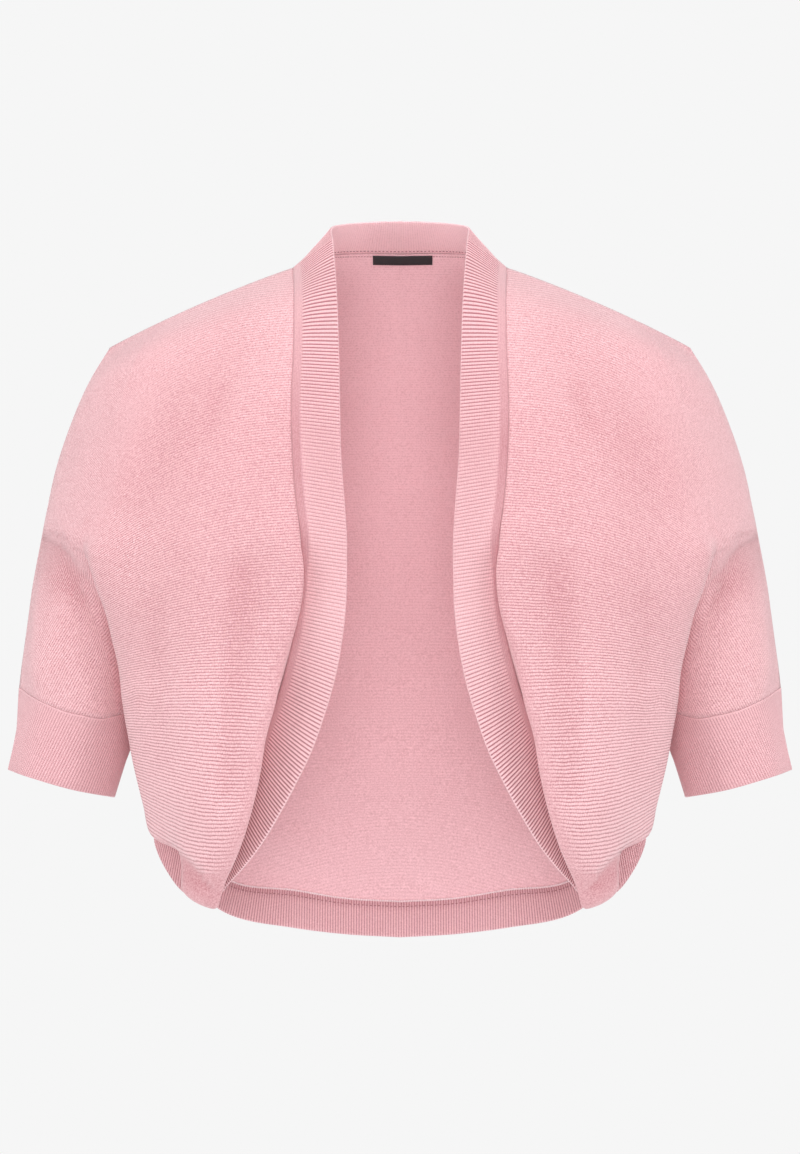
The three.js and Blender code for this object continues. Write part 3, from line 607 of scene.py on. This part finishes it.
def knit_material(name):
    """Fine sideways knit: raised lines with narrow grooves, small stitches along them and a soft fuzz,
    with painted shade in the grooves and painted light on the inner face.
    """
    wander_size, fuzz_size, cloud_size = 9, 1.1, 60
    line_wander, line_round = 0.5, 0.7
    inner_fade = 0.75
    groove_dark, stitch_dark, cloud_dark = 1.15, 0.25, 0.08
    speck_dark, inner_speck_less = 1.6, 0.5
    plain_dark, lined_less = 0.5, 0.65
    stitch_rise, fuzz_rise, relief = 0.3, 0.25, 0.5
    knit = Shader(name)
    arm_share, depth, inside, painted_shade = knit.zones()
    wander = knit.noise(wander_size, 1.0)

    def lines(layer):
        place = knit.node("UVMap", {"uv_map": layer}, {})
        stitch = knit.node("SeparateXYZ", {}, {"Vector": place}, out=0)
        line = knit.node("SeparateXYZ", {}, {"Vector": place}, out=1) + (wander - 0.5) * line_wander
        ridge = (line * math.pi).math("SINE").math("ABSOLUTE") ** line_round
        row = line.math("FLOOR")
        loop = ((stitch + row * 0.5) * (2 * math.pi)).math("SINE") * 0.5 + 0.5
        return ridge, loop

    body_ridge, body_loop = lines("lines")
    arm_ridge, arm_loop = lines("arm")
    ridge = body_ridge + (arm_ridge - body_ridge) * arm_share
    loop = body_loop + (arm_loop - body_loop) * arm_share
    strength = depth * (1 - inside * inner_fade)
    fuzz = knit.noise(fuzz_size, 3.0)
    cloud = knit.noise(cloud_size, 2.0)
    # Painted shade in the grooves between the knit lines.
    groove_shade = (1 - ridge) * strength
    speck = (fuzz - 0.5) * (speck_dark - inside * inner_speck_less)
    shade = groove_shade * groove_dark + (1 - loop) * strength * stitch_dark + speck + (cloud - 0.5) * cloud_dark
    # Painted shade: plain_dark darkens the cloth where its lines are faint, high on the front, and less
    # where they are strong; the inner face is spared it.
    shade = (shade + (plain_dark - strength * lined_less) * (1 - inside) + painted_shade).held()
    # The inner face is coloured lighter: painted light for the shade inside the garment.
    light = knit.mixed(inside, sight(246, 199, 204), sight(255, 211, 217))
    colour = knit.mixed(shade, light, sight(192, 126, 133))
    height = ridge * strength + loop * strength * stitch_rise + fuzz * fuzz_rise
    return knit.finish(colour, height, relief)


body_knit = knit_material("knit_body")
panel_thick = 1.5
mirror = np.array([-1, 1, 1])
sides = {"left": mirror * mirror, "right": mirror}
for side, flip in sides.items():
    parts = [(grid * flip, data) for grid, data in front_parts]
    front = panel(f"shrug_front_{side}", parts, [side == "left"] * 2, panel_thick, body_knit,
                  f"front_{side}")


# The back: one panel from cuff to cuff, both half sleeves in one piece with it, sewn to the fronts
# along the shoulders, over the arms and at the short side seams.
# Heights at the centre and under the high shoulder point, the lift, then the distance out and the depth of
# centre, nape, neck, blade, flank, crook, arm_in, arm and arm_out. The top of the arm is the front's.
back_upper = [
    (-28, -25, 4, (0, 90), (42, 81), (80, 52), (110, 50), (150, 46), (190, 38), (206, 31), (218, 22),
     (227, 14)),
    (-60, -62, 3, (0, 98), (42, 93), (80, 80), (112, 77), (155, 70), (201, 53), (219, 41), (231, 30),
     (241, 18)),
    (-95, -97, 2, (0, 103), (42, 101), (80, 95), (115, 90), (160, 80), (210, 61), (229, 49), (242, 35),
     (251, 20)),
    (-130, -132, 0, (0, 106), (42, 105), (80, 101), (118, 96), (165, 85), (216, 63), (235, 50), (248, 36),
     (257, 21)),
    (-170, -171, 0, (0, 106), (42, 105), (80, 102), (120, 97), (168, 84), (218, 61), (239, 51), (252, 38),
     (261, 22)),
    (-205, -206, 0, (0, 104), (42, 103.5), (80, 101), (121, 95), (168, 80), (214, 56), (238, 50),
     (253, 39), (263, 23)),
    (-230, -231, 0, (0, 102), (42, 101.5), (80, 99), (121, 93), (166, 77), (208, 50), (232, 48),
     (251, 41), (266, 24)),
    (-255, -256, 0, (0, 100), (42, 99.5), (80, 97), (121, 90), (163, 73), (200, 42), (223, 46), (248, 43),
     (268, 26)),
    (-280, -280, 0, (0, 98), (42, 97.5), (80, 95), (121, 88), (160, 69), (194, 30), (214, 45), (243, 45),
     (269, 28)),
    (-303, -304, 0, (0, 96.5), (42, 96), (80, 94), (121, 86), (158, 66), (190, 16), (206, 42), (237, 47),
     (269, 31)),
]
# Sections below the underarm: centre, nape, neck, blade and flank. The side is the front's, and the last
# section lies on the hem's seam.
back_lower = [
    ((0, 95.5, -328), (42, 95, -328), (80, 93, -328), (121, 85, -327), (157, 63, -326)),
    ((0, 95, -352), (42, 94.5, -352), (80, 92.5, -351), (121, 84, -349), (157, 63, -345)),
    ((0, 94.5, -375), (42, 94, -375), (80, 92, -373), (122, 83, -369), (158, 64, -362)),
    ((0, 94.5, -398), (42, 94, -397), (80, 91.5, -394), (122, 83, -388), (159, 64, -378)),
    ((0, 95, -421), (42, 94.5, -419), (80, 91.5, -415), (123, 82, -406), (162, 62.5, -389)),
    ((0, 96, -445), (42, 95, -443), (80, 91, -436), (124, 81, -425), (164, 60, -397)),
    ((0, 97, -463), (42, 96, -460), (80, 91, -453), (125, 80, -444), (166, 57, -403)),
    ((0, 97.5, -472), (42, 96, -469), (80, 91, -462), (126, 79, -454), (167, 54.5, -408)),
    ((0, 98, -479), (42, 96, -476.5), (80, 90, -470), (126.5, 77.5, -463), (168, 52, -413)),
]
neck_seam = [(0, 76, 10.5), (30, 70.5, 10.5), (55, 52, 8), (72, 26, 2.5), (79, 4, -4)]
sleeve_end_back = [(202, 34, -336), (229, 48, -337), (264, 36, -327), (282, 5, -315)]
back_across = [10, 10, 9, 12, 10]


def back_points(row, front):
    """Points of an upper section of the back, from the centre to the top of the arm on the front."""
    middle = [*row[3], row[0]]
    nape = [*row[4], (row[0] + row[1]) / 2]
    outer = placed((row[1], front[1], row[2], front[-1]), [*row[5:], front[-1]], row[5][0], row[1])
    return np.vstack([middle, nape, outer])


back_crook = 5
back_rows = [back_points(row, front) for row, front in zip(back_upper, front_upper[1:])]
shoulder_line = smooth(front_rows[0], [12] * 10)
nape_steps = sum(back_across[:2])
body_steps = sum(back_across)
shoulder_even = evenly(shoulder_line, body_steps - nape_steps + sum(sleeve_across) + 1)
neck_even = evenly(smooth(neck_seam, [16] * 4), nape_steps + 1)
top_row = np.vstack([neck_even[:-1], shoulder_even])
body_part = [row[:back_crook + 1] for row in back_rows]
body_part += [np.array([*row, front[-1]]) for row, front in zip(back_lower, front_lower)]
back_body = smooth([top_row[:body_steps + 1], *[smooth(row, back_across) for row in body_part]],
                   upper_down + lower_down)
arm_part = [row[back_crook:] for row in back_rows] + [np.array([underarm, *sleeve_end_back])]
back_sleeve = smooth([top_row[body_steps:], *[smooth(row, sleeve_across) for row in arm_part]],
                     upper_down)
# Creases of the back, in the same columns as those of the fronts.
back_creases = [
    (30, -95, 14, -250, 16, 16, -1.6),
    (68, -110, 62, -230, 20, 20, 1.5),
    (188, -262, 118, -300, 9, 13, 1.8),
    (184, -276, 126, -318, 7, 11, -1.7),
    (176, -300, 132, -352, 8, 10, 1.2),
    (150, -330, 96, -432, 10, 12, -1.4),
    (60, -330, 34, -440, 14, 14, 1.2),
    (208, -190, 246, -262, 12, 12, 1.5),
    (216, -230, 262, -246, 8, 8, -1.4),
]
back_body, _ = creased(back_body, back_creases, 1, underarm_row)
back_sleeve, _ = creased(back_sleeve, back_creases, 1, 0)
back_sleeve[-2:, :, 2] += wave
rows, columns = np.indices(back_body.shape[:2])
flank_column = sum(back_across[:4])
arm_fade_rows = 20
back_line_depth = 0.6
back_sleeve_line_depth = 0.5
back_arm_share = eased((columns - flank_column) / (body_steps - flank_column))
back_arm_share *= np.clip((underarm_row - rows) / arm_fade_rows, 0, 1)
# Painted shade: the back is coloured darker towards its bottom.
low_back_painted_shade = read_off(back_body[..., 2], [(-400, 0.18), (-290, 0.1), (-150, 0)])
back_parts = [
    (back_body, knit_of(back_body, 0, row_lengths(back_sleeve, len(back_body)), back_arm_share,
                        np.full(back_body.shape[:2], back_line_depth), low_back_painted_shade)),
    (back_sleeve, knit_of(back_sleeve, row_lengths(back_body, len(back_sleeve)), 0, all_arm,
                          back_sleeve_line_depth * all_arm)),
]
back_parts += [(grid * mirror, data) for grid, data in back_parts]
back = panel("shrug_back", back_parts, [False, False, True, True], panel_thick, body_knit, "back")


# The long band: one ribbed strip round the back of the neck, down both front edges and round the
# bottom corners to the hem band. A smooth strip runs along its seam, then ribs to the free edge.
# The free edge first: down the front, behind the neck, round the corner, and that of the hem band.
front_free = smooth([
    (49.5, -5, 16), (45.8, -58, -30), (44, -88, -74), (43.2, -105, -109), (42.3, -115, -145),
    (39.3, -121, -185), (38, -123, -208), (38.2, -122, -230), (39, -120, -256), (41.8, -117, -280),
    (47, -112, -307), (54, -106, -331), (63.5, -99, -358), (75.8, -89, -383.5), (88.5, -78, -407),
    (101.8, -64, -429), (114, -51, -445), (125.5, -38, -458), (133, -29, -467), (140, -21, -471.5),
], upper_down + lower_down)
nape_free = smooth([(0, 56, 34), (24, 53, 33), (42, 38, 30.4), (50.5, 15, 26), (49.5, -5, 16)], [8] * 4)
corner_free = smooth([
    (140, -21, -471.5), (150, -13, -471), (161, -7, -465), (172, 0, -451.5), (181, 12, -434),
    (183, 26, -422),
], front_across[2:])
hem_free = smooth([
    (0, 81.5, -505), (42, 79, -502.4), (80, 74, -497.4), (132, 58, -484.5), (171, 42, -446),
    (183, 26, -422),
], back_across)


def joined(*lines):
    """Lines end to end, each starting where the one before it stops."""
    return np.vstack([lines[0], *[line[1:] for line in lines[1:]]])


def whole(half):
    """The line from the far side's mirror image through the middle to this side."""
    return np.vstack([half[:0:-1] * mirror, half])


neck_half_seam = joined(neck_even, front_body[:, 0], front_body[-1, roll_column:])
neck_half_free = joined(evenly(nape_free, nape_steps + 1), front_free, corner_free)
# The wall, the cut of a groove, the steps across a rib and the roundness of its back, the rows of points
# over the strip and over the ribs and how they spread, the light line along the free edge and how much
# of its grooves it hides, and the share of the wall that a cut edge keeps.
band_thick = 1.2
groove_cut = 0.25
rib_steps = 6
rib_round = 0.6
strip_rows = 4
rib_rows = 7
row_spread = 0.85
edge_line = 0.8
edge_hides = 0.9
cut_edge_share = 0.5
# Height above which the band lies over the shoulders and round the neck.
pitch_height = -130
# How far the ribs swing: a share for each height of the front's bottom, fading out past a distance out,
# and a share for each depth over the shoulders.
low_front_share = [(-400, 1), (-290, 0)]
low_front_end = 125
low_front_fade = 25
shoulder_share = [(-75, 0), (-50, 0.7), (-20, 1), (4, 0.5), (30, 0)]
# Past the bottom corner, where the band lies in shade under the fold, the grooves' painted shade is
# fainter, the rib takes more painted shade and loses the lighter painted colour.
past_corner_share = [(135, 0), (150, 1)]
past_corner_fainter = 0.65
past_corner_painted_shade = 0.3
# Points on either side from which the way along a band is taken.
way_reach = 3


def facing(way, into, turned):
    """Unit normals of a strip's outer face, from its ways along and across."""
    normal = np.cross(way, into) * (-1 if turned else 1)
    return normal / np.linalg.norm(normal, axis=1, keepdims=True)


def ribbed(name, seam, free, strip, pitch, proud, tones, ring, turned, material, node,
           inner_strength=0.2, strip_painted_shades=(0, 0), twist=0, swing=0, shoulder_swing=0):
    """A ribbed wall from its seam to its free edge: a smooth strip and a sewn line outside, then rounded
    ribs, and ribs all over inside. The pitch is one length, or one for each point of the seam, and proud
    is the height of a rib. tones has a row for each height: the painted shade in the grooves, the painted
    shade over the whole rib (painted light below nought) and the share of the lighter painted colour
    outside; the inner face always has that colour. The smooth strip gets more painted shade, by one value
    outside and one inside. A ring's ribs lean by the twist. Towards the free edge a band's ribs move down
    by the swing at the bottom of the fronts, and up by the shoulder swing over the shoulders."""
    if ring:
        seam, free = np.vstack([seam, seam[:1]]), np.vstack([free, free[:1]])
        round_free = reach(free)
        free = sampled(free, round_free, (round_free + twist) % round_free[-1])
    along = (reach(seam) + reach(free)) / 2
    pitch = np.broadcast_to(pitch, len(seam))
    rib_count = np.concatenate([[0], np.cumsum(np.diff(along) * 2 / (pitch[1:] + pitch[:-1]))])
    total = round(rib_count[-1]) * rib_steps
    places = np.interp(np.linspace(0, rib_count[-1], total + 1), rib_count, along)
    start, end = sampled(seam, along, places), sampled(free, along, places)
    into = end - start
    wide = np.linalg.norm(into, axis=1, keepdims=True)
    low_front = read_off(start[:, 2], low_front_share)
    low_front *= 1 - eased((np.abs(start[:, 0]) - low_front_end) / low_front_fade)
    shoulder = read_off(start[:, 1], shoulder_share) * (start[:, 2] > pitch_height)
    down = np.sign(places - along[-1] / 2) * (swing * low_front - shoulder_swing * shoulder)
    way = np.roll(start + end, -way_reach, axis=0) - np.roll(start + end, way_reach, axis=0)
    if not ring:
        way[:way_reach], way[-way_reach:] = way[way_reach], way[-way_reach - 1]
    normal = facing(way, into, turned)
    split = np.minimum(strip / wide, 0.5)
    shares = [split * (i / strip_rows) for i in range(strip_rows + 1)]
    shares += [split + (1 - split) * (i / rib_rows) ** row_spread for i in range(1, rib_rows)]
    shares += [1 - edge_line / wide, np.ones_like(wide)]
    shares[0] = np.minimum(seam_gap / wide, 0.1)
    rib = np.abs(np.sin(np.pi * np.arange(total + 1) / rib_steps))[:, None] ** rib_round
    strong, painted_shade, painted_light = (read_off(start[:, 2:], [(row[0], row[k]) for row in tones]) for k in (1, 2, 3))
    if not ring:
        past_corner = read_off(np.abs(start[:, :1]), past_corner_share)
        strong = strong * (1 - past_corner_fainter * past_corner)
        painted_shade = painted_shade + past_corner_painted_shade * past_corner
        painted_light = painted_light * (1 - past_corner)
    outer, inner, depth, inner_groove_shade, outer_painted_shade, inner_painted_shade = [], [], [], [], [], []
    for i, share in enumerate(shares):
        ribbed_part = eased((i - strip_rows + 0.5) / 1.5)
        sewn = 1.0 if i == strip_rows else 0.0
        edge = 1.0 if i == len(shares) - 1 else 0.0
        thin = cut_edge_share if i == 0 or edge else 1.0
        swung = places + down * (1 - (1 - np.mean(share)) ** 2)
        near, far = sampled(seam, along, swung), sampled(free, along, swung)
        middle = near + (far - near) * share
        ridge = proud * rib * ribbed_part * (1 - edge)
        cut = groove_cut * (1 - rib) * (1 - edge)
        lift = band_thick / 2 * thin + ridge - cut * max(ribbed_part, sewn)
        drop = band_thick / 2 * thin - cut * min(i, 1)
        outer.append(middle + normal * lift)
        inner.append(middle - normal * drop)
        depth.append((1 - rib) * max(ribbed_part, sewn) * strong * (1 - edge_hides * edge))
        inner_groove_shade.append((1 - rib) * inner_strength)
        outer_painted_shade.append(painted_shade + strip_painted_shades[0] * (1 - max(ribbed_part, sewn)))
        inner_painted_shade.append(painted_shade + strip_painted_shades[1] * (1 - ribbed_part))
    grid = np.stack(outer + inner[::-1])
    depth = depth + inner_groove_shade[::-1]
    painted_shades = np.stack(outer_painted_shade + inner_painted_shade[::-1])[..., 0]
    painted_lights = np.stack([painted_light] * len(outer) + [painted_light * 0 + 1] * len(inner))[..., 0]
    high, wide_count = grid.shape[:2]
    numbers = np.arange(high * wide_count).reshape(high, wide_count)
    if ring:
        numbers[:, -1] = numbers[:, 0]
    numbers = np.vstack([numbers, numbers[:1]])
    faces = quads(numbers, not turned)
    if not ring:
        for k in range(high // 2 - 1):
            ends = [numbers[[k, k + 1, high - 2 - k, high - 1 - k], side].tolist() for side in (0, -1)]
            faces += [ends[0], ends[1][::-1]] if turned else [ends[0][::-1], ends[1]]
    across = [np.broadcast_to(s * wide, (total + 1, 1)) for s in shares]
    across = np.stack(across + across[::-1])[..., 0]
    count = np.broadcast_to(np.arange(total + 1) / rib_steps, across.shape)
    layers = {"ribs": np.stack([across / stitch_long, count], axis=-1).reshape(-1, 2)}
    zones = np.stack([np.stack(depth)[..., 0], painted_lights, 0 * across, painted_shades], axis=-1).reshape(-1, 4)
    return piece(name, grid.reshape(-1, 3), faces, layers, zones, material, node)


def rib_material(name):
    """Rib knit: painted shade in the grooves between the ribs, small stitches along each rib and a soft
    fuzz.
    """
    fuzz_size, cloud_size = 1.0, 45
    groove_dark, stitch_dark, speck_dark, cloud_dark = 1.2, 0.1, 0.6, 0.08
    stitch_rise, fuzz_rise, relief = 0.4, 0.5, 0.25
    rib = Shader(name)
    groove_shade, painted_light, _, painted_shade = rib.zones()
    place = rib.node("UVMap", {"uv_map": "ribs"}, {})
    stitch = rib.node("SeparateXYZ", {}, {"Vector": place}, out=0)
    loop = (stitch * (2 * math.pi)).math("SINE") * 0.5 + 0.5
    fuzz = rib.noise(fuzz_size, 3.0)
    cloud = rib.noise(cloud_size, 2.0)
    shade = groove_shade * groove_dark + (1 - loop) * stitch_dark
    shade = (shade + (fuzz - 0.5) * speck_dark + (cloud - 0.5) * cloud_dark + painted_shade).held()
    # The lighter colour is painted light: on every inner face, and outside low on the band, which faces
    # inward and down, away from the lamps.
    light = rib.mixed(painted_light, sight(243, 196, 201), sight(255, 214, 219))
    colour = rib.mixed(shade, light, sight(170, 104, 112))
    return rib.finish(colour, loop * stitch_rise + fuzz * fuzz_rise, relief)


rib_knit = rib_material("knit_rib")
strip_wide = 8
# Height, then the painted shade in the grooves, the painted shade over the whole rib (below nought,
# painted light) and the share of the lighter painted colour.
band_tones = [
    (-450, 1.8, -0.12, 1),
    (-383, 1.6, -0.12, 1),
    (-324, 0.9, 0.02, 0.45),
    (-250, 0.3, 0.06, 0),
    (-139, 0.3, 0.28, 0),
    (-60, 1.2, 0.04, 0),
    (0, 2.0, -0.08, 0),
    (40, 2.4, -0.16, 0),
]
band_proud = 0.5
band_swing = 9
band_shoulder_swing = 11
# The pitch of the ribs by depth above pitch_height, where the band stretches over the shoulders and
# draws together behind the neck; the first pitch holds everywhere below.
depth_pitch = [(-112, 2.6), (-90, 2.7), (-58, 3.2), (-25, 3.7), (4, 3.2), (40, 2.0), (76, 1.8)]
neck_seam_line = whole(neck_half_seam)
band_pitch = np.where(neck_seam_line[:, 2] > pitch_height, read_off(neck_seam_line[:, 1], depth_pitch),
                      depth_pitch[0][1])
# The band's smooth strip gets painted shade outside.
band_neck = ribbed("shrug_band_neck", neck_seam_line, whole(neck_half_free), strip_wide, band_pitch,
                   band_proud, band_tones, False, True, rib_knit, "band_neck", strip_painted_shades=(0.4, 0),
                   swing=band_swing, shoulder_swing=band_shoulder_swing)


# The hem band: the same rib, a separate strip along the back's lower edge between the side seams.
hem_pitch = 2.0
hem_strip = 5
hem_proud = 0.4
# Painted shade in the grooves and over the rib, no lighter painted colour outside; the smooth strip gets
# more painted shade outside, and inside below the seam.
hem_tones = [(0, 0.6, 0.2, 0)]
band_hem = ribbed("shrug_band_hem", whole(back_body[-1]), whole(hem_free), hem_strip, hem_pitch,
                  hem_proud, hem_tones, False, False, rib_knit, "band_hem", inner_strength=0.55,
                  strip_painted_shades=(0.25, 0.16))


# The cuffs: a ring of rib on each sleeve end, sewn on along a seam that waves a little. The ribs are low
# and lean a little round the arm.
rim_front = smooth([
    (211.5, 2, -395.5), (217, -25, -394), (240, -41, -389), (273, -31, -380), (291, 4, -375.5),
], sleeve_across)
rim_back = smooth([
    (211.5, 2, -395.5), (216, 31, -397), (241, 44, -392), (275, 34, -382), (291, 4, -375.5),
], sleeve_across)
cuff_pitch = 2.2
cuff_seam = np.vstack([front_sleeve[-1], back_sleeve[-1, -2:0:-1]])
cuff_rim = np.vstack([rim_front, rim_back[-2:0:-1]])
cuff_strip = 1.5
cuff_proud = 0.12
cuff_twist = 13
# Painted shade in the grooves and over the rib, and no lighter painted colour outside.
cuff_tones = [(0, 0.45, 0.2, 0)]
for side, flip in sides.items():
    cuff = ribbed(f"shrug_cuff_{side}", cuff_seam * flip, cuff_rim * flip, cuff_strip, cuff_pitch,
                  cuff_proud, cuff_tones, True, side == "left", rib_knit, f"cuff_{side}",
                  inner_strength=0.3, twist=cuff_twist)


# The sewing that shows inside: a row of stitches on each side of the neck seam, a row on the hem band
# and the raised seam of the hem above it, near white as a painted highlight. A bar has points at these
# shares of its length, and its ends are this share of its size.
bar_cuts = (0, 0.2, 0.8, 1)
bar_end = 0.35


def stitches(name, seam, free, off, turned, long, step, half_wide, proud, material):
    """Small bars in a row, at a distance off the seam towards the free edge, on the inner face."""
    way = np.gradient(seam, axis=0)
    into = free - seam
    into /= np.linalg.norm(into, axis=1, keepdims=True)
    normal = facing(way, into, turned)
    line = seam + into * off - normal * band_thick / 2
    along = reach(line)
    points, faces = [], []
    for start in np.arange(step, along[-1] - step, step):
        first = len(points)
        for share in bar_cuts:
            at = start + long * share
            centre = sampled(line, along, at)
            side = sampled(into, along, at) * half_wide
            up = sampled(normal, along, at) * -proud
            size = 1.0 if 0 < share < 1 else bar_end
            points += [centre + side * size, centre + up * size, centre - side * size, centre - up * size]
        for ring in range(3):
            for k in range(4):
                a, b = first + 4 * ring + k, first + 4 * ring + (k + 1) % 4
                faces.append([a, b, b + 4, a + 4] if turned else [b, a, a + 4, b + 4])
        ends = [list(range(first, first + 4)), list(range(first + 12, first + 16))]
        faces += [ends[0][::-1], ends[1]] if turned else [ends[0], ends[1][::-1]]
    points = np.array(points)
    zones = np.tile([0, 1, 0, 0], (len(points), 1))
    layers = {"ribs": points[:, :2] / stitch_long}
    return piece(name, points, faces, layers, zones, material, None)


def thread_material(name, light, dark):
    """Sewing thread, light and dark by turns along its plies."""
    yarn = Shader(name)
    ply = yarn.noise(0.8, 2.0)
    return yarn.finish(yarn.mixed(ply, light, dark), ply, 0.1)


thread = thread_material("thread", sight(186, 124, 131), sight(150, 90, 98))
# The hem seam's near-white thread colour is a painted highlight on its raised ridge.
seam_highlight_thread = thread_material("seam_highlight_thread", sight(255, 242, 244), sight(255, 216, 221))
neck_line = whole(neck_even)
neck_free = whole(evenly(nape_free, nape_steps + 1))
neck_below_row = 8
neck_below = whole(back_body[neck_below_row, :nape_steps + 1])
hem_line, hem_edge = whole(back_body[-1]), whole(hem_free)
# Distance off the seam, side, then a bar's length, step, half width and height.
stitches("shrug_neck_stitch_band", neck_line, neck_free, 2.6, True, 1.7, 2.9, 0.36, 0.4, thread)
stitches("shrug_neck_stitch_back", neck_line, neck_below, 2.4, False, 1.9, 2.3, 0.3, 0.4, thread)
stitches("shrug_hem_stitch", hem_line, hem_edge, 4.8, False, 1.9, 3.1, 0.45, 0.4, thread)
stitches("shrug_hem_seam", hem_line, hem_edge, 0.2, False, 1.7, 1.8, 0.9, 1.3, seam_highlight_thread)


# The label: a small plain ribbon of black satin, sewn to the inside of the back under the neck seam.
label_wide = 45
label_tall = 7.5
label_thick = 0.5
label_off = 0.45
label_top = 1.6
label_shift = 2
label_across = 30
label_down = 6
rows_behind = 6
label_points = []
for down in np.linspace(label_top, label_top + label_tall, label_down + 1):
    row = []
    for x in label_shift + np.linspace(-label_wide / 2, label_wide / 2, label_across + 1):
        line = np.array([[np.interp(abs(x), cloth[:, 0], cloth[:, k]) for k in (1, 2)]
                         for cloth in back_body[:rows_behind]])
        far = reach(line)
        row.append([x, np.interp(down, far, line[:, 0]), np.interp(down, far, line[:, 1])])
    label_points.append(row)
label_grid = np.array(label_points)
label_grid[..., 1] -= panel_thick / 2 + label_off + label_thick / 2
satin = Shader("label_satin")
weave = satin.noise(0.5, 2.0)
satin_colour = satin.mixed(weave, sight(40, 38, 39), sight(62, 58, 60))
satin_material = satin.finish(satin_colour, weave, 0.08, roughness=0.42, sheen=0.1)
label_data = np.zeros(label_grid.shape[:2] + back_parts[0][1].shape[2:])
label = panel("shrug_label", [(label_grid, label_data)], [False], label_thick, satin_material, "label")
